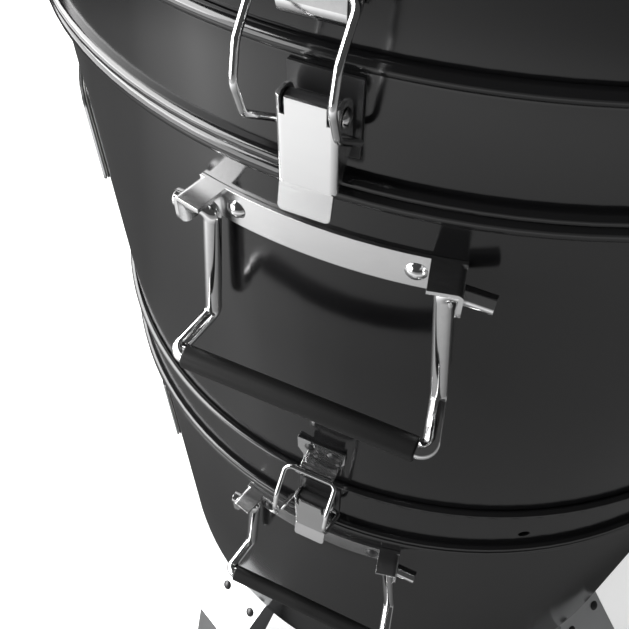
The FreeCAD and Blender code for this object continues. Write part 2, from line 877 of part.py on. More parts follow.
def door(bead, drop, height):
    """A curved door leaf with rounded corners, a hinge knuckle below and a hole for its knob."""
    top, bottom, hinge, knob = door_edges(bead, drop, height)
    leaf = Part.makeCylinder(door_outside, height, Vector(0, 0, bottom))
    leaf = leaf.cut(Part.makeCylinder(door_inside, 3 * height, Vector(0, 0, bottom - height)))
    leaf = leaf.common(rounded_prism(door_half, bottom, top, door_corner, wall_inside / 2, bead_outside))
    knuckle = crosswise(hinge_pin + hinge_wall, hinge_half, hinge_out, hinge)
    neck = block(hinge_half, door_inside + door_gauge / 2, hinge_out, hinge, bottom + hinge_drop)
    whole = joined(leaf, neck, knuckle)
    bore = crosswise(hinge_pin + pin_gap, 2 * hinge_half, hinge_out, hinge)
    shaft = facing_out(Part.makeCylinder(knob_shaft + pin_gap, bead_depth), door_inside - door_gauge, knob)
    return placed(whole.cut([bore, shaft]), door_azimuth)


def door_hinge(bead, drop, height):
    """A plate on the wall with two ears and the pin that the door's knuckle turns on."""
    _, _, hinge, _ = door_edges(bead, drop, height)
    back = barrel_radius + seat_gap
    reach = hinge_half + running_gap + hinge_ear
    round_out = hinge_pin + hinge_wall
    half_angle = math.degrees(math.asin(reach / barrel_radius))
    plate = sector(back, back + door_gauge, hinge - round_out - hinge_plate, hinge - round_out, half_angle)
    ears = []
    for sign in (-1, 1):
        ear = crosswise(round_out, hinge_ear / 2, hinge_out, hinge)
        arm = block(hinge_ear / 2, back + door_gauge / 2, hinge_out, hinge - 2 * round_out, hinge)
        ear = ear.fuse(arm)
        ear.translate(Vector(sign * (reach - hinge_ear / 2), 0, 0))
        ears.append(ear)
    pin = crosswise(hinge_pin, reach, hinge_out, hinge)
    return placed(joined(plate, *ears, pin), door_azimuth)


def door_knob(bead, drop, height):
    """A round knob on a shaft through the door, with a tongue behind the wall."""
    _, _, _, knob = door_edges(bead, drop, height)
    tongue_out = wall_inside - 2 * tongue_gauge
    face = door_outside + running_gap
    cap = Part.makeCylinder(knob_radius, knob_depth)
    cap = cap.makeFillet(knob_depth / 4, [e for e in cap.Edges if e.BoundBox.ZMin > knob_depth / 2])
    cap = facing_out(cap, face, knob)
    shaft = facing_out(Part.makeCylinder(knob_shaft, face + knob_depth / 2 - tongue_out), tongue_out, knob)
    low = knob - tongue_width / 2
    tongue = block(tongue_half, tongue_out - tongue_gauge, tongue_out, low, low + tongue_width)
    return placed(joined(cap, shaft.fuse(tongue)), door_azimuth)


def leg_plate_point(back):
    """A point of a leg's sloped plate, on its upper face, a distance back from its knee."""
    slope = math.radians(leg_slope)
    return leg_knee_out - back * math.cos(slope), leg_knee_height + back * math.sin(slope)


def leg_outline():
    """A leg's side outline: from inside the bowl to the knee, down to the foot, and back up."""
    return [
        leg_plate_point(2 * leg_bolt_setback),
        (leg_knee_out, leg_knee_height),
        (leg_foot_out, 0),
        (leg_foot_out - leg_foot_depth, 0),
        (barrel_radius - leg_web, leg_knee_height + leg_web),
    ]


def leg_hollow():
    """The outline of the space inside a leg's folded sheet, open towards the barrel."""
    slope = math.tan(math.radians(leg_slope))
    fall = (leg_foot_out - leg_knee_out) / leg_knee_height
    across = leg_gauge * math.hypot(1, fall)
    drop = leg_gauge * math.hypot(1, slope)
    inward = (across - drop * fall) / (1 - slope * fall)
    knee_out = leg_knee_out - inward
    knee_height = leg_knee_height - drop + inward * slope
    foot_out = knee_out + (knee_height - leg_gauge) * fall
    far = 2 * leg_bolt_setback
    return [
        (knee_out - far, knee_height + far * slope),
        (knee_out, knee_height),
        (foot_out, leg_gauge),
        (foot_out - 2 * far, leg_gauge),
    ]


def bolt_at(shape, across):
    """Sets a shape built along Z square on a leg's sloped plate at a bolt's place."""
    out, height = leg_plate_point(leg_bolt_setback)
    moved = shape.copy()
    moved.rotate(ORIGIN, X, 90 - leg_slope)
    moved.translate(Vector(across, -out, height))
    return moved


def leg():
    """A folded sheet leg: a plate sloping out from under the bowl, a knee, a foot and two side webs."""
    body = side_prism(leg_outline(), leg_half)
    body = body.cut(side_prism(leg_hollow(), leg_half - leg_gauge))
    hole = Part.makeCylinder(leg_bolt_shank + pin_gap, 4 * leg_gauge, Vector(0, 0, -2 * leg_gauge))
    holes = [bolt_at(hole, sign * leg_bolt_half) for sign in (-1, 1)]
    return body.cut([bowl_outer(seat_gap), *holes])


def leg_cleat():
    """A block welded under the bowl's rounded edge that a leg's plate is bolted to."""
    slope = math.radians(leg_slope)
    start = leg_gauge + seat_gap
    outer = leg_bolt_setback - 2 * leg_bolt_head

    def corner(back, depth):
        out, height = leg_plate_point(back)
        return out - depth * math.sin(slope), height - depth * math.cos(slope)

    points = [
        corner(outer, start),
        corner(outer, start + cleat_depth),
        corner(outer + cleat_length, start + cleat_depth),
        corner(outer + cleat_length, start),
    ]
    body = side_prism(points, leg_half - leg_gauge - running_gap)
    depth = 2 * (cleat_depth + leg_gauge)
    hole = Part.makeCylinder(leg_bolt_shank + pin_gap, depth, Vector(0, 0, -depth))
    holes = [bolt_at(hole, sign * leg_bolt_half) for sign in (-1, 1)]
    return body.cut([bowl_outer(seat_gap), *holes])


def leg_bolt():
    """A round-headed bolt along Z through a leg's plate and its cleat."""
    grip = leg_gauge + cleat_depth
    edges = [
        line(at(0, -grip), at(leg_bolt_shank, -grip)),
        line(at(leg_bolt_shank, -grip), at(leg_bolt_shank, seat_gap)),
        line(at(leg_bolt_shank, seat_gap), at(leg_bolt_head, seat_gap)),
        dome_arc(leg_bolt_head, seat_gap, leg_bolt_dome),
        line(at(0, leg_bolt_dome), at(0, -grip)),
    ]
    return turned(edges)


def leg_places():
    """The azimuths of the legs."""
    return [leg_azimuth + 360 * index / leg_count for index in range(leg_count)]


def crown_height(out):
    """The height of the lid's crown at a distance from the axis."""
    return lid_crown_centre + math.sqrt(lid_crown**2 - out**2)


def lid_handle_top():
    """The height of the lid grip's middle line."""
    return crown_height(lid_handle_half) + lid_handle_rise


def lid_handle_rod():
    """An arch of rod on two round feet that sit on the crown."""
    top = lid_handle_top()
    base = crown_height(lid_handle_half)
    ends = [Vector(sign * lid_handle_half, 0, base) for sign in (-1, 1)]
    arch = bent_rod(
        [ends[0], Vector(-lid_handle_half, 0, top), Vector(lid_handle_half, 0, top), ends[1]],
        [2 * rod_bend] * 2,
        rod_radius,
    )
    drop = Z * lid_handle_foot_height
    feet = [Part.makeCylinder(lid_handle_foot, 2 * lid_handle_foot_height, e - drop) for e in ends]
    crown = Part.makeSphere(lid_crown + seat_gap, Vector(0, 0, lid_crown_centre))
    return joined(arch, *feet).cut(crown)


def lid_handle_grip():
    """A tube on the arch's straight run."""
    half = lid_handle_half - 2 * rod_bend - grip_end_gap
    grip = crosswise(grip_radius, half, 0, lid_handle_top())
    rims = [e for e in grip.Edges if e.BoundBox.XLength < grip_radius / 2]
    grip = grip.makeFillet((grip_radius - rod_radius) / 2, rims)
    return grip.cut(crosswise(rod_radius + pin_gap, 2 * half, 0, lid_handle_top()))


def lid_damper():
    """A round cap that slides on the crown, with vent holes and a turned-up tab."""
    inner = lid_crown + running_gap
    outer = inner + sheet
    cap = Part.makeSphere(outer).cut(Part.makeSphere(inner))
    cap = cap.common(Part.makeCylinder(damper_radius, lid_crown, Vector(0, 0, lid_crown / 2)))
    height = math.sqrt(outer**2 - (damper_radius - sheet) ** 2)
    corner = Vector(damper_radius - 2 * sheet, -damper_tab / 2, height - sheet)
    tab = Part.makeBox(sheet, damper_tab, damper_tab, corner)
    cap = joined(cap, tab.cut(Part.makeSphere(inner)))
    cutters = damper_cutters(lid_crown)
    for cutter in cutters:
        cutter.translate(Vector(0, 0, lid_crown))
    pivot = Part.makeCylinder(damper_pivot + pin_gap, lid_crown, Vector(0, 0, lid_crown / 2))
    return on_crown(cap.cut([*cutters, pivot]))


def damper_rivet(grip):
    """The rivet that a damper turns on, along Z with its head's seat at zero."""
    return dome_rivet(damper_pivot, damper_pivot_head, damper_pivot_dome, grip, damper_pivot_dome)


def lid_damper_rivet():
    """The lid damper's rivet, through the damper and the crown."""
    rivet = damper_rivet(2 * sheet + 3 * running_gap)
    rivet.translate(Vector(0, 0, lid_crown + sheet + 2 * running_gap))
    return on_crown(rivet)


def bowl_damper():
    """A disc under the bowl's bottom, with vent holes and a tab turned down."""
    top = bowl_floor - running_gap
    disc = Part.makeCylinder(damper_radius, sheet, Vector(0, 0, top - sheet))
    tab = Part.makeBox(sheet, damper_tab, damper_tab, Vector(-damper_radius, -damper_tab / 2, top - damper_tab))
    cutters = [placed(cutter, 0, top) for cutter in damper_cutters(bowl_corner)]
    cutters.append(Part.makeCylinder(damper_pivot + pin_gap, bowl_corner, Vector(0, 0, top - bowl_corner / 2)))
    return joined(disc, tab).cut(cutters)


def bowl_damper_rivet():
    """The bowl damper's rivet, with its head below the disc."""
    rivet = damper_rivet(2 * sheet + 3 * running_gap)
    rivet.rotate(ORIGIN, X, 180)
    rivet.translate(Vector(0, 0, bowl_floor - sheet - 2 * running_gap))
    return rivet


def thermometer_case():
    """A shallow round case on a boss that stands on the lid's shoulder."""
    outside = dial_radius + case_wall
    case = Part.makeCylinder(outside, case_depth, Vector(0, 0, case_standoff))
    rims = [e for e in case.Edges if e.BoundBox.ZLength < case_wall]
    case = case.makeFillet(case_wall * 0.6, rims)
    recess = Part.makeCylinder(dial_radius, case_depth, Vector(0, 0, case_standoff + case_wall))
    boss = Part.makeCylinder(boss_radius, 2 * case_standoff, Vector(0, 0, -case_standoff + case_wall))
    bore = Part.makeCylinder(stem_radius + pin_gap, 4 * case_depth, Vector(0, 0, -2 * case_depth))
    shape = at_shoulder(joined(case.cut(recess), boss).cut(bore))
    ring = Part.makeTorus(lid_crown_side, lid_corner + seat_gap, Vector(0, 0, lid_shoulder))
    return shape.cut(ring)


def dial_floor():
    """The height of the case's floor above the shoulder."""
    return case_standoff + case_wall


def thermometer_dial():
    """The dial plate on the case's floor."""
    plate = Part.makeCylinder(dial_radius - seat_gap, dial_gauge, Vector(0, 0, dial_floor() + seat_gap))
    bore = Part.makeCylinder(stem_radius + pin_gap, case_depth, Vector(0, 0, case_standoff))
    return at_shoulder(plate.cut(bore))


def thermometer_glass():
    """The flat glass in the case's mouth."""
    low = case_standoff + case_depth - glass_inset - glass_gauge
    return at_shoulder(Part.makeCylinder(dial_radius - seat_gap, glass_gauge, Vector(0, 0, low)))


def needle_height():
    """The underside of the needle above the shoulder."""
    return dial_floor() + seat_gap + dial_gauge + needle_lift


def thermometer_needle():
    """A tapered needle with a hub that turns on the stem's tip."""
    low = needle_height()
    corners = [
        Vector(-needle_half, -needle_length / 3, low),
        Vector(needle_half, -needle_length / 3, low),
        Vector(needle_half / 3, needle_length, low),
        Vector(-needle_half / 3, needle_length, low),
    ]
    blade = Part.Face(Part.makePolygon(corners + corners[:1])).extrude(Z * needle_gauge)
    hub = Part.makeCylinder(2 * needle_half, needle_gauge, Vector(0, 0, low))
    bore = Part.makeCylinder(needle_half + pin_gap, case_depth, Vector(0, 0, case_standoff))
    return at_shoulder(joined(blade, hub).cut(bore))


def thermometer_stem():
    """The probe through the lid, with a nut inside and a thin tip that carries the needle."""
    bottom = -stem_length
    shoulder = dial_floor() + seat_gap + dial_gauge
    stem = Part.makeCylinder(stem_radius, shoulder - bottom, Vector(0, 0, bottom))
    seat = Part.makeCylinder(2 * needle_half, needle_lift - running_gap, Vector(0, 0, shoulder))
    tip = Part.makeCylinder(needle_half, needle_lift + 2 * needle_gauge, Vector(0, 0, shoulder))
    corners = [
        Vector(nut_radius * math.cos(math.radians(60 * i)), nut_radius * math.sin(math.radians(60 * i)), 0)
        for i in range(6)
    ]
    nut = Part.Face(Part.makePolygon(corners + corners[:1])).extrude(Z * nut_depth)
    sag = nut_radius**2 / lid_corner
    nut.translate(Vector(0, 0, -sheet - seat_gap - nut_depth - sag))
    return at_shoulder(joined(stem, seat, tip, nut))


def bracket(level):
    """An angle on the inside of the wall that a grate or pan rests on."""
    back = wall_inside - seat_gap
    plate = sector(back - bracket_gauge, back, level - bracket_height, level, bracket_angle / 2)
    shelf = sector(back - bracket_reach, back, level - bracket_gauge, level, bracket_angle / 2)
    return joined(plate, shelf)


def brackets(levels):
    """Angles spread round the wall at each level."""
    return [
        placed(bracket(level), bracket_azimuth + 360 * index / bracket_count)
        for level in levels
        for index in range(bracket_count)
    ]


def bowl_brackets():
    """The angles inside the bowl and the cleats under it."""
    cleats = [placed(leg_cleat(), turn) for turn in leg_places()]
    return group(brackets([charcoal_height(), pan_height()]) + cleats)


def grate(level):
    """A round grate: an outer ring with parallel bars, resting on the brackets at a level."""
    radius = wall_inside - grate_play
    disc = Part.makeCylinder(radius, grate_depth, Vector(0, 0, level))
    ring = disc.cut(Part.makeCylinder(radius - grate_ring, 3 * grate_depth, Vector(0, 0, level - grate_depth)))
    count = int((radius - grate_ring) / bar_pitch)
    inner = Part.makeCylinder(radius - grate_ring / 2, grate_depth, Vector(0, 0, level))
    bars = []
    for index in range(-count, count + 1):
        corner = Vector(index * bar_pitch - bar_width / 2, -radius, level)
        bars.append(Part.makeBox(bar_width, 2 * radius, grate_depth, corner))
    return joined(ring, *[b.common(inner) for b in bars])


def cooking_height():
    """The height of the middle section's brackets."""
    return bowl_bead + cooking_level


def charcoal_height():
    """The height of the bowl's lower brackets."""
    return bowl_floor + charcoal_level


def pan_height():
    """The height of the bowl's upper brackets."""
    return bowl_bead - pan_drop


def baking_stone():
    """A round stone with softened edges on the cooking grate."""
    low = cooking_height() + grate_depth
    stone = Part.makeCylinder(stone_radius, stone_depth, Vector(0, 0, low))
    return stone.makeFillet(stone_depth / 5, [e for e in stone.Edges if e.BoundBox.ZLength < sheet])


def drip_pan():
    """A pan with a flat floor, sloped wall and a flange that rests on the bowl's upper brackets."""
    flange = wall_inside - pan_play
    level = pan_height()
    low = level - pan_depth
    return turned_outline(
        [
            (0, low),
            (pan_floor_radius, low),
            (pan_wall_radius, level),
            (flange, level),
            (flange, level + sheet),
            (pan_wall_radius - sheet, level + sheet),
            (pan_floor_radius - sheet, low + sheet),
            (0, low + sheet),
        ]
    )


def charcoal_ring():
    """A pierced ring that stands on the charcoal grate."""
    low = charcoal_height() + grate_depth
    ring = Part.makeCylinder(ring_radius, ring_height, Vector(0, 0, low))
    ring = ring.cut(Part.makeCylinder(ring_radius - sheet, 3 * ring_height, Vector(0, 0, low - ring_height)))
    cutters = []
    for index in range(ring_hole_count):
        hole = Part.makeCylinder(ring_hole, 4 * ring_hole)
        azimuth = 360 * index / ring_hole_count
        cutters.append(facing_out(hole, ring_radius - 2 * ring_hole, low + ring_height / 2, azimuth))
    return ring.cut(cutters)


def section_nodes(section, bead):
    """The latches, handles and rivets of the bowl or the middle section, by node name."""
    nodes = {
        f"{section}_latch_bases": group(placed(latch_base(), turn, bead) for turn in sides.values()),
        f"{section}_latch_pins": group(placed(latch_pin(), turn, bead) for turn in sides.values()),
        f"{section}_handle_straps": group(placed(handle_strap(), turn, bead) for turn in sides.values()),
        f"{section}_handle_rivets": strap_rivets(bead),
    }
    for side, turn in sides.items():
        nodes[f"{section}_{side}_lever"] = placed(lever(), turn, bead)
        nodes[f"{section}_{side}_bail"] = placed(bail(), turn, bead)
        nodes[f"{section}_{side}_handle_rod"] = placed(handle_rod(), turn, bead)
        nodes[f"{section}_{side}_handle_grip"] = placed(handle_grip(), turn, bead)
    return nodes


def door_nodes(section, bead, drop, height):
    """An access door with its hinge and knob, by node name."""
    return {
        f"{section}_door": door(bead, drop, height),
        f"{section}_door_hinge": door_hinge(bead, drop, height),
        f"{section}_door_knob": door_knob(bead, drop, height),
    }


def lid_nodes():
    """The lid and what it carries, by node name."""
    return {
        "lid_shell": lid_shell(),
        "lid_keepers": group(placed(keeper(), turn, middle_bead) for turn in sides.values()),
        "lid_keeper_rivets": keeper_rivets(middle_bead),
        "lid_handle_rod": lid_handle_rod(),
        "lid_handle_grip": lid_handle_grip(),
        "lid_damper": lid_damper(),
        "lid_damper_rivet": lid_damper_rivet(),
        "thermometer_case": thermometer_case(),
        "thermometer_dial": thermometer_dial(),
        "thermometer_glass": thermometer_glass(),
        "thermometer_needle": thermometer_needle(),
        "thermometer_stem": thermometer_stem(),
    }


def middle_nodes():
    """The middle section and what it carries, by node name."""
    return {
        "middle_shell": middle_shell(),
        "middle_keepers": group(placed(keeper(), turn, bowl_bead) for turn in sides.values()),
        "middle_keeper_rivets": keeper_rivets(bowl_bead),
        "middle_brackets": group(brackets([cooking_height()])),
        "cooking_grate": grate(cooking_height()),
        "baking_stone": baking_stone(),
        **section_nodes("middle", middle_bead),
        **door_nodes("middle", middle_bead, middle_door_drop, middle_door_height),
    }


def bowl_nodes():
    """The bowl, its legs and what it carries, by node name."""
    nodes = {
        "bowl_shell": bowl_shell(),
        "bowl_brackets": bowl_brackets(),
        "charcoal_grate": grate(charcoal_height()),
        "charcoal_ring": charcoal_ring(),
        "drip_pan": drip_pan(),
        "bowl_damper": bowl_damper(),
        "bowl_damper_rivet": bowl_damper_rivet(),
        "leg_bolts": group(
            placed(bolt_at(leg_bolt(), sign * leg_bolt_half), turn) for turn in leg_places() for sign in (-1, 1)
        ),
        **section_nodes("bowl", bowl_bead),
        **door_nodes("bowl", bowl_bead, bowl_door_drop, bowl_door_height),
    }
    for index, turn in enumerate(leg_places(), start=1):
        nodes[f"leg_{index}"] = placed(leg(), turn)
    return nodes


def write_parts():
    """Writes one STEP file for each node."""
    os.makedirs("parts", exist_ok=True)
    for name, shape in {**lid_nodes(), **middle_nodes(), **bowl_nodes()}.items():
        shape.exportStep(f"parts/{name}.step")


write_parts()
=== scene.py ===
"""Dresses the stacked barrel oven: finishes for every solid, added trim, studio, light and camera."""

import logging
import math
from dataclasses import dataclass, field
from enum import Enum
from typing import Dict, Iterable, List, Optional, Sequence, Tuple

import bpy
from mathutils import Matrix, Vector


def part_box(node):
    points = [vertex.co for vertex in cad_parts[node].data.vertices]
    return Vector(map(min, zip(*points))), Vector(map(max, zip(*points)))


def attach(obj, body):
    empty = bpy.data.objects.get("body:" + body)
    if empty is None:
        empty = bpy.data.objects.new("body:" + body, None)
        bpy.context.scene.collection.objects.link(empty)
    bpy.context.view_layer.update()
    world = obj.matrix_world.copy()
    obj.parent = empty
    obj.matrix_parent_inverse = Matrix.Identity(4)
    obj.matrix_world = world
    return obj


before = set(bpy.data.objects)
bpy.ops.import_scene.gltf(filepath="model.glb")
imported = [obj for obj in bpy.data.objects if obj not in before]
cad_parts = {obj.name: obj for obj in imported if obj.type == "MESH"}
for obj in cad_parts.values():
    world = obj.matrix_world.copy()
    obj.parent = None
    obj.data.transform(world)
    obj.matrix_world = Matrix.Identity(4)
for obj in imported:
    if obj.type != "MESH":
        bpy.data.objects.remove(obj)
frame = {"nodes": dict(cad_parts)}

LOG = logging.getLogger("barrel_oven")
MIX_INPUTS = (0, 6, 7)
MIX_RESULT = 2
BEVEL_SAMPLES = 4
SHARP_ANGLE = 40.0
RING_POINTS = 8
RAMP_LOW = 0.3
RAMP_HIGH = 0.7

Point = Tuple[float, float, float]
Colour = Tuple[float, float, float]
Socket = bpy.types.NodeSocket


class Side(Enum):
    """The two faces of the barrel that carry a latch and a handle."""

    FRONT = "front"
    BACK = "back"


class Section(Enum):
    """The two collared sections of the barrel."""

    BOWL = "bowl"
    MIDDLE = "middle"


class Look(Enum):
    """The named finishes."""

    ENAMEL = "black_enamel"
    SATIN = "satin_steel"
    POLISHED = "polished_steel"
    LEG = "leg_steel"
    COAT = "black_coat"
    GRIP = "grip_rubber"
    DIAL = "dial_white"
    INK = "dial_ink"
    NEEDLE = "needle_red"
    STONE = "baking_stone"
    GLASS = "dial_glass"
    GASKET = "door_gasket"


class Grain(Enum):
    """How a metal's brushing runs over a piece, as the stretch of its pattern on each axis."""

    ALONG_X = (10.0, 260.0, 260.0)
    ALONG_Z = (260.0, 260.0, 10.0)
    ROUND = (80.0, 80.0, 80.0)


def rgba(colour: Colour) -> Tuple[float, float, float, float]:
    """Returns a colour with full opacity."""
    return (*colour, 1.0)


class NodeBuilder:
    """A small helper that adds and joins shader nodes of one material."""

    def __init__(self, name: str) -> None:
        """Starts a node material.

        Args:
            name: The material's name.
        """
        self.material = bpy.data.materials.new(name)
        self.material.use_nodes = True
        self.tree = self.material.node_tree
        self.shader = self.tree.nodes["Principled BSDF"]

    def add(self, kind: str, **values: object) -> bpy.types.Node:
        """Adds a node and sets plain attributes on it.

        Args:
            kind: The node's type name.
            values: Attributes to set.

        Returns:
            The new node.
        """
        node = self.tree.nodes.new(kind)
        for key, value in values.items():
            setattr(node, key, value)
        return node

    def join(self, source: Socket, target: Socket) -> None:
        """Links an output socket to an input socket."""
        self.tree.links.new(source, target)

    def feed(self, source: Socket, name: str) -> None:
        """Links an output socket to one of the shader's inputs."""
        self.join(source, self.shader.inputs[name])

    def set(self, **values: object) -> None:
        """Sets constant values on the shader's own sockets, named with underscores for spaces."""
        for key, value in values.items():
            self.shader.inputs[key.replace("_", " ")].default_value = value

    def coordinates(self, scale: Sequence[float]) -> Socket:
        """Object coordinates stretched by a scale.

        Args:
            scale: The stretch on X, Y and Z.

        Returns:
            The vector output.
        """
        source = self.add("ShaderNodeTexCoord")
        mapping = self.add("ShaderNodeMapping")
        mapping.inputs["Scale"].default_value = tuple(scale)
        self.join(source.outputs["Object"], mapping.inputs["Vector"])
        return mapping.outputs["Vector"]

    def noise(self, size: float, detail: float = 3.0, scale: Sequence[float] = (1.0, 1.0, 1.0)) -> Socket:
        """A noise pattern.

        Args:
            size: The pattern's frequency.
            detail: The number of octaves.
            scale: The stretch of the pattern on each axis.

        Returns:
            The factor output.
        """
        node = self.add("ShaderNodeTexNoise")
        node.inputs["Scale"].default_value = size
        node.inputs["Detail"].default_value = detail
        self.join(self.coordinates(scale), node.inputs["Vector"])
        return node.outputs["Fac"]

    def ramp(self, factor: Socket, stops: Iterable[Tuple[float, Colour]]) -> Socket:
        """A colour ramp over a factor.

        Args:
            factor: The input factor.
            stops: Positions with their colours.

        Returns:
            The colour output.
        """
        node = self.add("ShaderNodeValToRGB")
        elements = node.color_ramp.elements
        for index, (place, colour) in enumerate(stops):
            element = elements[index] if index < len(elements) else elements.new(place)
            element.position = place
            element.color = rgba(colour)
        self.join(factor, node.inputs["Fac"])
        return node.outputs["Color"]

    def two_tone(self, factor: Socket, first: Colour, second: Colour) -> None:
        """Colours the shader from one tone to another over a factor.

        Args:
            factor: The pattern.
            first: The tone at its low end.
            second: The tone at its high end.
        """
        self.feed(self.ramp(factor, [(RAMP_LOW, first), (RAMP_HIGH, second)]), "Base Color")

    def curve(self, factor: Socket, stops: Sequence[Tuple[float, float]]) -> Socket:
        """A grey ramp over a measured value.

        Args:
            factor: The measured value.
            stops: Values in rising order with their grey levels.

        Returns:
            The grey output.
        """
        first, last = stops[0][0], stops[-1][0]
        unit = self.spread(factor, 0.0, 1.0, first, last)
        return self.ramp(unit, [((value - first) / (last - first), (level,) * 3) for value, level in stops])

    def spread(
        self, factor: Socket, low: float, high: float, start: float = RAMP_LOW, end: float = RAMP_HIGH
    ) -> Socket:
        """Maps a factor from one range to another.

        Args:
            factor: The input factor.
            low: The value at the start of the range.
            high: The value at its end.
            start: The start of the input range.
            end: The end of the input range.

        Returns:
            The mapped value.
        """
        node = self.add("ShaderNodeMapRange")
        for name, value in zip(("From Min", "From Max", "To Min", "To Max"), (start, end, low, high)):
            node.inputs[name].default_value = value
        self.join(factor, node.inputs["Value"])
        return node.outputs["Result"]

    def mix(self, factor: Socket, first: Socket, second: Socket) -> Socket:
        """Blends two colours.

        Args:
            factor: Zero for the first colour, one for the second.
            first: The first colour.
            second: The second colour.

        Returns:
            The blended colour.
        """
        node = self.add("ShaderNodeMix", data_type="RGBA")
        for source, place in zip((factor, first, second), MIX_INPUTS):
            self.join(source, node.inputs[place])
        return node.outputs[MIX_RESULT]

    def heights(self, bands: Iterable[Tuple[float, float]]) -> Socket:
        """A mask that is one at some heights and zero elsewhere.

        Args:
            bands: The lowest and highest Z of each band, in metres.

        Returns:
            The mask.
        """
        split = self.add("ShaderNodeSeparateXYZ")
        self.join(self.coordinates((1.0, 1.0, 1.0)), split.inputs["Vector"])
        total: Optional[Socket] = None
        for low, high in bands:
            inside = self.add("ShaderNodeMath", operation="COMPARE")
            inside.inputs[1].default_value = (low + high) / 2
            inside.inputs[2].default_value = (high - low) / 2
            self.join(split.outputs["Z"], inside.inputs[0])
            if total is None:
                total = inside.outputs["Value"]
                continue
            both = self.add("ShaderNodeMath", operation="ADD")
            self.join(total, both.inputs[0])
            self.join(inside.outputs["Value"], both.inputs[1])
            total = both.outputs["Value"]
        return total

    def bump(self, height: Socket, strength: float, distance: float, edge: float = 0.0) -> None:
        """Raises the surface by a height pattern, over softened edges if asked.

        Args:
            height: The pattern.
            strength: The bump's strength.
            distance: The bump's depth in metres.
            edge: The radius of the softened edges in metres, or zero for none.
        """
        node = self.add("ShaderNodeBump")
        node.inputs["Strength"].default_value = strength
        node.inputs["Distance"].default_value = distance
        self.join(height, node.inputs["Height"])
        if edge > 0.0:
            bevel = self.add("ShaderNodeBevel", samples=BEVEL_SAMPLES)
            bevel.inputs["Radius"].default_value = edge
            self.join(bevel.outputs["Normal"], node.inputs["Normal"])
        self.feed(node.outputs["Normal"], "Normal")


@dataclass(frozen=True)
class Enamel:
    """Glossy fired enamel: a dark coat with a faint ripple, and a thicker, brighter glaze on the beads."""

    look: Look
    colour: Colour
    lighter: Colour
    gloss: float = 0.11
    ripple: float = 0.015
    bead_bands: Tuple[Tuple[float, float], ...] = (
        (0.434, 0.449), (0.4845, 0.4925), (0.703, 0.718), (0.7535, 0.7615),
    )
    wall_index: float = 1.5
    bead_index: float = 1.56
    cloud_size: float = 9.0
    dullest: float = 1.5
    ripple_size: float = 28.0
    ripple_depth: float = 0.0006

    def build(self) -> bpy.types.Material:
        """Returns the finish as a material."""
        nodes = NodeBuilder(self.look.value)
        cloud = nodes.noise(self.cloud_size)
        nodes.two_tone(cloud, self.colour, self.lighter)
        nodes.feed(nodes.spread(cloud, self.gloss, self.gloss * self.dullest), "Roughness")
        beads = nodes.heights(self.bead_bands)
        nodes.feed(nodes.spread(beads, self.wall_index, self.bead_index, 0.0, 1.0), "IOR")
        nodes.bump(nodes.noise(self.ripple_size, 1.0), self.ripple, self.ripple_depth)
        return nodes.material


@dataclass(frozen=True)
class Steel:
    """Bare steel with fine brushing lines and softened edges, from satin to polished."""

    look: Look
    colour: Colour
    darker: Colour
    roughness: float
    grain: Grain = Grain.ROUND
    scratch: float = 0.01
    edge: float = 0.0003
    line_size: float = 6.0
    line_detail: float = 4.0
    line_depth: float = 0.0001
    smoothest: float = 0.92
    dullest: float = 1.1

    def build(self) -> bpy.types.Material:
        """Returns the finish as a material."""
        nodes = NodeBuilder(self.look.value)
        lines = nodes.noise(self.line_size, self.line_detail, self.grain.value)
        nodes.two_tone(lines, self.darker, self.colour)
        low, high = self.roughness * self.smoothest, self.roughness * self.dullest
        nodes.feed(nodes.spread(lines, low, high), "Roughness")
        nodes.set(Metallic=1.0)
        nodes.bump(lines, self.scratch, self.line_depth, self.edge)
        return nodes.material


@dataclass(frozen=True)
class Coating:
    """A matte or satin coat with a fine pebble, as on grips and brackets."""

    look: Look
    colour: Colour
    lighter: Colour
    roughness: float
    pebble: float = 900.0
    depth: float = 0.12
    edge: float = 0.0003
    shine: float = 0.5
    cloud_size: float = 22.0
    pebble_detail: float = 2.0
    pebble_depth: float = 0.0002
    smoothest: float = 0.9
    dullest: float = 1.1

    def build(self) -> bpy.types.Material:
        """Returns the finish as a material."""
        nodes = NodeBuilder(self.look.value)
        cloud = nodes.noise(self.cloud_size)
        nodes.two_tone(cloud, self.colour, self.lighter)
        low, high = self.roughness * self.smoothest, self.roughness * self.dullest
        nodes.feed(nodes.spread(cloud, low, high), "Roughness")
        nodes.set(Specular_IOR_Level=self.shine)
        pebbles = nodes.noise(self.pebble, self.pebble_detail)
        nodes.bump(pebbles, self.depth, self.pebble_depth, self.edge)
        return nodes.material


@dataclass(frozen=True)
class Stone:
    """A pale fired stone with specks and pores."""

    look: Look
    colour: Colour
    darker: Colour
    speck_size: float = 260.0
    speck_detail: float = 5.0
    speck_range: Tuple[float, float] = (0.35, 0.6)
    roughness: Tuple[float, float] = (0.8, 0.95)
    pores: float = 0.3
    pore_depth: float = 0.0006

    def build(self) -> bpy.types.Material:
        """Returns the finish as a material."""
        nodes = NodeBuilder(self.look.value)
        specks = nodes.noise(self.speck_size, self.speck_detail)
        nodes.feed(nodes.ramp(specks, zip(self.speck_range, (self.darker, self.colour))), "Base Color")
        nodes.feed(nodes.spread(specks, *self.roughness), "Roughness")
        nodes.bump(specks, self.pores, self.pore_depth)
        return nodes.material


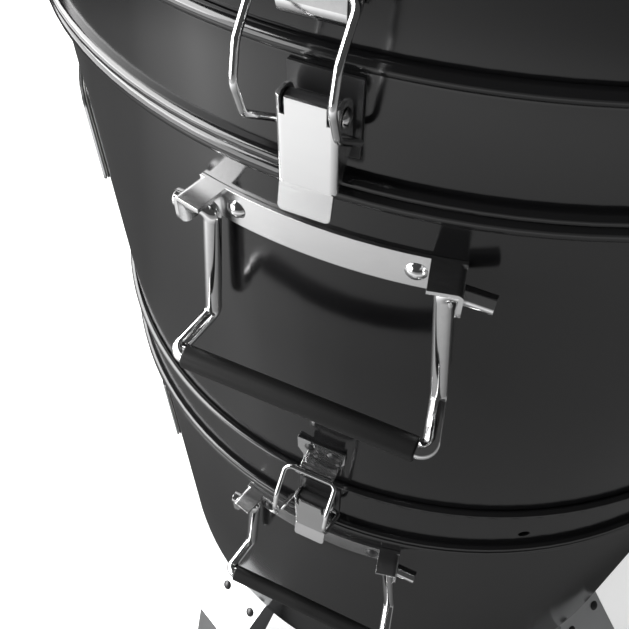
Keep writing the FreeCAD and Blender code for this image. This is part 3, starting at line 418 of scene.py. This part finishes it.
@dataclass(frozen=True)
class Glass:
    """Clear flat glass with a faint smear."""

    look: Look
    tint: Colour
    clear: Colour = (1.0, 1.0, 1.0)
    smear_size: float = 40.0
    dullest: float = 0.05
    index: float = 1.45

    def build(self) -> bpy.types.Material:
        """Returns the finish as a material."""
        nodes = NodeBuilder(self.look.value)
        smear = nodes.noise(self.smear_size)
        nodes.feed(nodes.spread(smear, 0.0, self.dullest), "Roughness")
        nodes.two_tone(smear, self.tint, self.clear)
        nodes.set(IOR=self.index, Transmission_Weight=1.0)
        return nodes.material


@dataclass
class Finishes:
    """All the oven's finishes, built once and found by name."""

    built: Dict[Look, bpy.types.Material] = field(default_factory=dict)

    def prepare(self) -> None:
        """Builds every finish."""
        looks = [
            Enamel(Look.ENAMEL, (0.003, 0.003, 0.0032), (0.0045, 0.0045, 0.0048)),
            Steel(Look.SATIN, (0.82, 0.82, 0.82), (0.77, 0.77, 0.775), 0.24, Grain.ALONG_X),
            Steel(Look.POLISHED, (0.8, 0.8, 0.8), (0.74, 0.74, 0.745), 0.1, Grain.ROUND, 0.004),
            Steel(Look.LEG, (0.8, 0.81, 0.82), (0.75, 0.76, 0.77), 0.33, Grain.ALONG_Z),
            Coating(Look.COAT, (0.012, 0.012, 0.012), (0.018, 0.018, 0.019), 0.3, 700.0, 0.05),
            Coating(Look.GRIP, (0.003, 0.003, 0.003), (0.005, 0.005, 0.005), 0.42, 1400.0, 0.12, shine=0.22),
            Coating(Look.DIAL, (0.8, 0.8, 0.78), (0.86, 0.86, 0.84), 0.6, 600.0, 0.04),
            Coating(Look.INK, (0.01, 0.01, 0.01), (0.02, 0.02, 0.02), 0.6, 600.0, 0.04),
            Coating(Look.NEEDLE, (0.55, 0.03, 0.025), (0.62, 0.045, 0.035), 0.4, 600.0, 0.04),
            Coating(Look.GASKET, (0.3, 0.297, 0.29), (0.36, 0.355, 0.345), 0.85, 1800.0, 0.6, 0.0),
            Stone(Look.STONE, (0.6, 0.52, 0.41), (0.42, 0.35, 0.26)),
            Glass(Look.GLASS, (0.94, 0.97, 0.97)),
        ]
        for look in looks:
            self.built[look.look] = look.build()

    def dress(self, target: bpy.types.Object, look: Look) -> None:
        """Gives a piece one finish all over.

        Args:
            target: The piece.
            look: The finish.
        """
        target.data.materials.clear()
        target.data.materials.append(self.built[look])


class MeshBuilder:
    """Collects the points and faces of one added piece."""

    def __init__(self) -> None:
        """Starts with no points."""
        self.points: List[Vector] = []
        self.faces: List[Tuple[int, ...]] = []

    def sweep(self, rings: Sequence[Sequence[Vector]], closed: bool) -> None:
        """Joins equal rings of points into a tube.

        Args:
            rings: The rings in order, each with its points in order.
            closed: Whether the last ring joins the first; if not, the ends are capped.
        """
        base = len(self.points)
        size = len(rings[0])
        for ring in rings:
            self.points.extend(ring)
        for index in range(len(rings) if closed else len(rings) - 1):
            here = base + index * size
            ahead = base + (index + 1) % len(rings) * size
            for step in range(size):
                after = (step + 1) % size
                self.faces.append((here + step, here + after, ahead + after, ahead + step))
        if not closed:
            self.faces.append(tuple(range(base + size - 1, base - 1, -1)))
            last = base + (len(rings) - 1) * size
            self.faces.append(tuple(range(last, last + size)))

    def build(self, name: str, place: Matrix) -> bpy.types.Object:
        """Makes the piece.

        Args:
            name: The piece's name.
            place: Where its own frame lies.

        Returns:
            The new object, linked into the scene.
        """
        mesh = bpy.data.meshes.new(name)
        mesh.from_pydata([tuple(place @ point) for point in self.points], [], self.faces)
        mesh.shade_smooth()
        mesh.set_sharp_from_angle(angle=math.radians(SHARP_ANGLE))
        piece = bpy.data.objects.new(name, mesh)
        bpy.context.scene.collection.objects.link(piece)
        return piece


@dataclass
class Assembly:
    """A sub-assembly: solids to dress, and pieces to add."""

    finishes: Finishes
    nodes: Dict[str, bpy.types.Object]

    def looks(self) -> Dict[str, Look]:
        """Returns the finish of each of its solids."""
        return {}

    def trim(self) -> None:
        """Adds its own pieces; none unless a sub-assembly says so."""

    def build(self) -> List[str]:
        """Dresses its solids and adds its pieces.

        Returns:
            The names of its solids.
        """
        looks = self.looks()
        for name, look in looks.items():
            self.finishes.dress(self.nodes[name], look)
            LOG.info("dressed %s with %s", name, look.value)
        self.trim()
        return list(looks)

    def add(self, mesh: MeshBuilder, name: str, body: str, look: Look, slot: str, place: Matrix) -> None:
        """Makes one added piece, dresses it and sets it on a body.

        Args:
            mesh: The piece's points and faces.
            name: The piece's name.
            body: The body that it moves with.
            look: Its finish.
            slot: The record's material slot; not used.
            place: Where its own frame lies.
        """
        piece = mesh.build(name, place)
        self.finishes.dress(piece, look)
        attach(piece, body)
        LOG.info("added %s on %s", name, body)


@dataclass
class Lid(Assembly):
    """The domed lid with its handle, damper and thermometer."""

    dial_slope: float = 45.0
    dial_radius: float = 0.028
    tick_count: int = 41
    tick_sweep: float = 270.0
    tick_height: float = 0.00025
    tick_place: float = 0.86
    tick_group: int = 5
    long_tick: Tuple[float, float] = (0.0052, 0.00045)
    short_tick: Tuple[float, float] = (0.003, 0.00022)
    arc_parts: int = 3
    arc_width: float = 0.0006
    arc_fill: float = 5.8
    mark_lift: float = 0.00056

    def looks(self) -> Dict[str, Look]:
        """Returns the finish of each of its solids."""
        return {
            "lid_shell": Look.ENAMEL,
            "lid_keepers": Look.POLISHED,
            "lid_keeper_rivets": Look.COAT,
            "lid_handle_rod": Look.POLISHED,
            "lid_handle_grip": Look.GRIP,
            "lid_damper": Look.SATIN,
            "lid_damper_rivet": Look.POLISHED,
            "thermometer_case": Look.POLISHED,
            "thermometer_dial": Look.DIAL,
            "thermometer_glass": Look.GLASS,
            "thermometer_needle": Look.NEEDLE,
            "thermometer_stem": Look.SATIN,
        }

    def tick(self, mesh: MeshBuilder, angle: float, inner: float, outer: float, half: float) -> None:
        """Adds one raised mark to the dial.

        Args:
            mesh: The marks so far.
            angle: Where it stands round the dial, in radians from the top.
            inner: Its inner radius.
            outer: Its outer radius.
            half: Half its width.
        """
        along = Vector((math.sin(angle), math.cos(angle), 0.0))
        across = Vector((math.cos(angle), -math.sin(angle), 0.0)) * half
        low = [along * inner - across, along * inner + across, along * outer + across, along * outer - across]
        lift = Vector((0.0, 0.0, self.tick_height))
        mesh.sweep([low, [point + lift for point in low]], False)

    def trim(self) -> None:
        """Adds the dial's marks and the arc that joins them."""
        mesh = MeshBuilder()
        start = math.radians(-self.tick_sweep / 2)
        step = math.radians(self.tick_sweep) / (self.tick_count - 1)
        outer = self.dial_radius * self.tick_place
        for index in range(self.tick_count):
            length, half = self.short_tick if index % self.tick_group else self.long_tick
            self.tick(mesh, start + index * step, outer - length, outer, half)
        half = outer * step / self.arc_fill
        for index in range(self.arc_parts * (self.tick_count - 1)):
            angle = start + (index + 0.5) * step / self.arc_parts
            self.tick(mesh, angle, outer, outer + self.arc_width, half)
        low, high = (Vector(corner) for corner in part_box("thermometer_dial"))
        lift = Matrix.Translation((0.0, 0.0, self.mark_lift))
        turn = Matrix.Rotation(math.radians(self.dial_slope), 4, "X")
        place = Matrix.Translation((low + high) / 2) @ turn @ lift
        self.add(mesh, "dial_marks", "lid", Look.INK, "black_coated_steel", place)


@dataclass
class MiddleSection(Assembly):
    """The straight middle tube with its keepers and inner brackets."""

    radius: float = 0.2305
    seam_low: float = 0.4935
    seam_high: float = 0.7025
    seam_half: float = 0.0014
    seam_depth: float = 0.0006
    seam_steps: int = 140
    seam_sink: float = 0.0001
    seam_back: float = -0.3
    ripple_size: float = 0.12
    ripple_steps: float = 2.5

    def looks(self) -> Dict[str, Look]:
        """Returns the finish of each of its solids."""
        return {
            "middle_shell": Look.ENAMEL,
            "middle_keepers": Look.POLISHED,
            "middle_keeper_rivets": Look.COAT,
            "middle_brackets": Look.COAT,
        }

    def trim(self) -> None:
        """Adds the rippled weld along each of the tube's two seams."""
        for name, side in (("left_seam_weld", -1.0), ("right_seam_weld", 1.0)):
            mesh = MeshBuilder()
            rings = []
            for index in range(self.seam_steps + 1):
                along = index / self.seam_steps
                wave = math.sin(along * math.pi * self.seam_steps / self.ripple_steps)
                height = self.seam_low + along * (self.seam_high - self.seam_low)
                rings.append(self.seam_ring(side, height, 1.0 + self.ripple_size * wave))
            mesh.sweep(rings, False)
            self.add(mesh, name, "middle", Look.ENAMEL, "black_enamel", Matrix.Identity(4))

    def seam_ring(self, side: float, height: float, ripple: float) -> List[Vector]:
        """One ring of points round a weld.

        Args:
            side: Minus one for the left seam, one for the right.
            height: The ring's height.
            ripple: The size of the weld there.

        Returns:
            The ring's points.
        """
        ring = []
        for step in range(RING_POINTS):
            turn = 2.0 * math.pi * step / RING_POINTS
            swell = self.seam_depth * ripple * max(math.cos(turn), self.seam_back)
            out = self.radius - self.seam_sink + swell
            ring.append(Vector((side * out, -side * self.seam_half * ripple * math.sin(turn), height)))
        return ring


@dataclass
class Bowl(Assembly):
    """The deep bowl with its brackets, damper, legs and bolts."""

    leg_count: int = 4

    def looks(self) -> Dict[str, Look]:
        """Returns the finish of each of its solids."""
        found = {
            "bowl_shell": Look.ENAMEL,
            "bowl_brackets": Look.COAT,
            "bowl_damper": Look.SATIN,
            "bowl_damper_rivet": Look.POLISHED,
            "leg_bolts": Look.COAT,
        }
        for index in range(1, self.leg_count + 1):
            found[f"leg_{index}"] = Look.LEG
        return found


@dataclass
class CookingGear(Assembly):
    """What stands inside the barrel: grates, stone, pan and charcoal ring."""

    def looks(self) -> Dict[str, Look]:
        """Returns the finish of each of its solids."""
        return {
            "cooking_grate": Look.SATIN,
            "baking_stone": Look.STONE,
            "drip_pan": Look.SATIN,
            "charcoal_grate": Look.COAT,
            "charcoal_ring": Look.COAT,
        }


@dataclass
class Latches(Assembly):
    """The toggle latches of one section: bases, pins, levers and wire bails."""

    section: Section = Section.BOWL

    def looks(self) -> Dict[str, Look]:
        """Returns the finish of each of its solids."""
        name = self.section.value
        found = {f"{name}_latch_bases": Look.COAT, f"{name}_latch_pins": Look.POLISHED}
        for side in Side:
            found[f"{name}_{side.value}_lever"] = Look.SATIN
            found[f"{name}_{side.value}_bail"] = Look.POLISHED
        return found


@dataclass
class CarryHandles(Assembly):
    """The hinged wire handles of one section: straps, rivets, rods and grips."""

    section: Section = Section.BOWL

    def looks(self) -> Dict[str, Look]:
        """Returns the finish of each of its solids."""
        name = self.section.value
        rivets = Look.COAT if self.section is Section.BOWL else Look.POLISHED
        found = {f"{name}_handle_straps": Look.SATIN, f"{name}_handle_rivets": rivets}
        for side in Side:
            found[f"{name}_{side.value}_handle_rod"] = Look.POLISHED
            found[f"{name}_{side.value}_handle_grip"] = Look.GRIP
        return found


@dataclass
class AccessDoor(Assembly):
    """One access door with its hinge, knob and rope gasket."""

    section: Section = Section.BOWL
    low: float = 0.275
    high: float = 0.365
    half: float = 0.071
    azimuth: float = -66.0
    gasket_out: float = 0.23172
    gasket_inset: float = 0.0027
    gasket_half: float = 0.0026
    gasket_depth: float = 0.0009
    corner: float = 0.006
    corner_steps: int = 6
    stop_gap: float = 0.006

    def looks(self) -> Dict[str, Look]:
        """Returns the finish of each of its solids."""
        name = self.section.value
        return {
            f"{name}_door": Look.SATIN,
            f"{name}_door_hinge": Look.SATIN,
            f"{name}_door_knob": Look.POLISHED,
        }

    def path(self) -> List[Tuple[Vector, Vector]]:
        """The middle line of the gasket as a rounded oblong.

        Returns:
            Points and outward directions, each with X across the door and Y up it.
        """
        half = self.half - self.gasket_inset
        low, high = self.low + self.gasket_inset, self.high - self.gasket_inset
        middles = [
            (half - self.corner, high - self.corner), (self.corner - half, high - self.corner),
            (self.corner - half, low + self.corner), (half - self.corner, low + self.corner),
        ]
        found = []
        for quarter, (across, height) in enumerate(middles):
            for step in range(self.corner_steps + 1):
                turn = math.pi / 2 * (quarter + step / self.corner_steps)
                away = Vector((math.cos(turn), math.sin(turn)))
                found.append((Vector((across, height)) + away * self.corner, away))
        return self.filled(found)

    def filled(self, stops: Sequence[Tuple[Vector, Vector]]) -> List[Tuple[Vector, Vector]]:
        """Adds stops along the long runs, so that the gasket follows the curved wall.

        Args:
            stops: The stops at the corners.

        Returns:
            All the stops.
        """
        found = []
        for index, (point, away) in enumerate(stops):
            ahead = stops[(index + 1) % len(stops)][0]
            count = max(1, int((ahead - point).length / self.stop_gap))
            found.extend((point.lerp(ahead, step / count), away) for step in range(count))
        return found

    def trim(self) -> None:
        """Adds the rope gasket behind the door's leaf."""
        mesh = MeshBuilder()
        rings = []
        for point, away in self.path():
            ring = []
            for step in range(RING_POINTS):
                turn = 2.0 * math.pi * step / RING_POINTS
                spot = point + away * (self.gasket_half * math.cos(turn))
                out = self.gasket_out + self.gasket_depth * math.sin(turn)
                ring.append(Vector((spot.x, -math.sqrt(out**2 - spot.x**2), spot.y)))
            rings.append(ring)
        mesh.sweep(rings, True)
        name = self.section.value
        place = Matrix.Rotation(math.radians(self.azimuth), 4, "Z")
        self.add(mesh, f"{name}_door_gasket", f"{name}_door", Look.GASKET, "black_grip", place)


@dataclass(frozen=True)
class Panel:
    """One soft lamp: where it hangs, what it faces, its size and its power in watts."""

    name: str
    place: Point
    aim: Point
    size: Tuple[float, float]
    power: float

    def hang(self) -> None:
        """Hangs the lamp."""
        data = bpy.data.lights.new(self.name, "AREA")
        data.shape = "RECTANGLE"
        data.size, data.size_y = self.size
        data.energy = self.power
        lamp = bpy.data.objects.new(self.name, data)
        lamp.location = self.place
        lamp.rotation_euler = (Vector(self.aim) - Vector(self.place)).to_track_quat("-Z", "Y").to_euler()
        bpy.context.scene.collection.objects.link(lamp)


@dataclass
class Studio:
    """A pale floor, a white surround, soft lamps and the camera at the photograph's view."""

    camera_place: Point = (0.0789, -0.4079, 0.8818)
    camera_turn: Point = (38.18, 0.0, 25.2)
    focal: float = 43.6
    sensor: float = 36.0
    floor_half: float = 6.0
    floor_glow: float = 0.35
    floor_tones: Tuple[Colour, Colour] = ((0.76, 0.76, 0.76), (0.79, 0.79, 0.79))
    floor_cloud: float = 3.0
    floor_roughness: float = 0.9
    floor_shine: float = 0.2
    # Painted shade and light on the floor in reflections: grey by distance from the barrel's axis, dark near
    # it as painted shadow, lightest in a ring about 1.4 m out
    floor_painted_shade_and_light_rings: Tuple[Tuple[float, float], ...] = (
        (0.3, 0.06), (0.45, 0.13), (0.65, 0.185), (0.84, 0.27), (1.0, 0.37), (1.2, 0.48), (1.37, 0.53),
        (1.55, 0.25),
    )
    # Painted light and shade by direction: a multiplier that lightens the floor in front and darkens it
    # towards the back left
    floor_painted_light_falloff: Tuple[Tuple[float, float], ...] = (
        (-1.25, 1.15), (-1.05, 0.92), (-0.5, 0.97), (-0.3, 1.15), (-0.2, 1.2), (-0.05, 0.75), (0.07, 0.54),
        (0.3, 0.22), (0.5, 0.14), (0.75, 0.08),
    )
    # The direction in which the floor's painted light falls off into painted shade
    painted_light_falloff_towards: float = -30.0
    surround_level: float = 0.6
    mirrored_level: float = 0.06
    clip_start: float = 0.01
    panels: Tuple[Panel, ...] = (
        Panel("side_panel", (-1.9, -1.15, 0.8), (0.0, 0.0, 0.75), (3.4, 1.45), 76.0),
        Panel("strip_panel", (-2.0, -0.54, 1.9), (0.0, 0.0, 0.75), (2.8, 1.6), 150.0),
    )

    def build(self) -> None:
        """Makes the whole studio."""
        self.floor()
        self.surround()
        for panel in self.panels:
            panel.hang()
        self.camera()

    def floor(self) -> None:
        """Lays the floor, white to the camera where no shadow falls."""
        mesh = bpy.data.meshes.new("studio_floor")
        half = self.floor_half
        corners = [(-half, -half, 0.0), (half, -half, 0.0), (half, half, 0.0), (-half, half, 0.0)]
        mesh.from_pydata(corners, [], [(0, 1, 2, 3)])
        floor = bpy.data.objects.new("studio_floor", mesh)
        bpy.context.scene.collection.objects.link(floor)
        nodes = NodeBuilder("studio_floor")
        seen = nodes.ramp(nodes.noise(self.floor_cloud), zip((RAMP_LOW, RAMP_HIGH), self.floor_tones))
        path = nodes.add("ShaderNodeLightPath")
        # To all but the camera the floor carries painted shade and light; to the camera it is evenly pale
        nodes.feed(nodes.mix(path.outputs["Is Camera Ray"], self.mirrored_floor_painted_light(nodes), seen), "Base Color")
        nodes.set(Roughness=self.floor_roughness, Specular_IOR_Level=self.floor_shine)
        nodes.set(Emission_Color=(1.0, 1.0, 1.0, 1.0))
        glow = nodes.spread(path.outputs["Is Camera Ray"], 0.0, self.floor_glow, 0.0, 1.0)
        nodes.feed(glow, "Emission Strength")
        mesh.materials.append(nodes.material)

    def mirrored_floor_painted_light(self, nodes: NodeBuilder) -> Socket:
        """The floor's colour to all but the camera, with painted shade near the barrel and towards the back
        left, and painted light in front and in a ring further out.

        Args:
            nodes: The floor's material.

        Returns:
            The grey level.
        """
        away = nodes.add("ShaderNodeVectorMath", operation="LENGTH")
        nodes.join(nodes.coordinates((1.0, 1.0, 0.0)), away.inputs[0])
        turn = math.radians(self.painted_light_falloff_towards)
        along = nodes.add("ShaderNodeVectorMath", operation="DOT_PRODUCT")
        along.inputs[1].default_value = (math.sin(turn), math.cos(turn), 0.0)
        nodes.join(nodes.coordinates((1.0, 1.0, 1.0)), along.inputs[0])
        product = nodes.add("ShaderNodeMath", operation="MULTIPLY")
        nodes.join(nodes.curve(away.outputs["Value"], self.floor_painted_shade_and_light_rings), product.inputs[0])
        nodes.join(nodes.curve(along.outputs["Value"], self.floor_painted_light_falloff), product.inputs[1])
        return product.outputs["Value"]

    def surround(self) -> None:
        """Sets an even surround that is white to the camera, dark in mirrored rays and grey to all else."""
        world = bpy.data.worlds.new("studio")
        bpy.context.scene.world = world
        world.use_nodes = True
        tree = world.node_tree
        back = tree.nodes["Background"]
        back.inputs["Color"].default_value = (1.0, 1.0, 1.0, 1.0)
        path = tree.nodes.new("ShaderNodeLightPath")
        unseen = tree.nodes.new("ShaderNodeMapRange")
        unseen.inputs["To Min"].default_value = self.surround_level
        unseen.inputs["To Max"].default_value = self.mirrored_level
        tree.links.new(path.outputs["Is Glossy Ray"], unseen.inputs["Value"])
        level = tree.nodes.new("ShaderNodeMapRange")
        level.inputs["To Max"].default_value = 1.0
        tree.links.new(unseen.outputs["Result"], level.inputs["To Min"])
        tree.links.new(path.outputs["Is Camera Ray"], level.inputs["Value"])
        tree.links.new(level.outputs["Result"], back.inputs["Strength"])

    def camera(self) -> None:
        """Sets the camera."""
        data = bpy.data.cameras.new("view")
        data.lens = self.focal
        data.sensor_width = self.sensor
        data.clip_start = self.clip_start
        camera = bpy.data.objects.new("view", data)
        camera.location = self.camera_place
        camera.rotation_euler = [math.radians(angle) for angle in self.camera_turn]
        bpy.context.scene.collection.objects.link(camera)
        bpy.context.scene.camera = camera


def assemblies(finishes: Finishes, nodes: Dict[str, bpy.types.Object]) -> List[Assembly]:
    """Lists the oven's sub-assemblies from the lid down.

    Args:
        finishes: The finishes.
        nodes: The solids by name.

    Returns:
        The sub-assemblies in the order in which they are built.
    """
    found: List[Assembly] = [Lid(finishes, nodes), MiddleSection(finishes, nodes), Bowl(finishes, nodes)]
    found.append(CookingGear(finishes, nodes))
    for section in Section:
        found += [Latches(finishes, nodes, section), CarryHandles(finishes, nodes, section)]
    found.append(AccessDoor(finishes, nodes, Section.MIDDLE, 0.5775, 0.639))
    found.append(AccessDoor(finishes, nodes, Section.BOWL, 0.275, 0.365))
    return found


def main() -> None:
    """Builds the oven's looks in order."""
    logging.basicConfig(level=logging.INFO, format="%(name)s: %(message)s")
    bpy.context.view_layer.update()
    bpy.context.scene.view_settings.view_transform = "Standard"
    finishes = Finishes()
    finishes.prepare()
    nodes = frame["nodes"]
    dressed: List[str] = []
    for assembly in assemblies(finishes, nodes):
        dressed += assembly.build()
        LOG.info("built %s", type(assembly).__name__)
    for name in sorted(set(nodes) - set(dressed)):
        LOG.warning("no finish for %s", name)
    Studio().build()
    bpy.context.view_layer.update()
    LOG.info("boxes written")


if __name__ == "__main__":
    main()
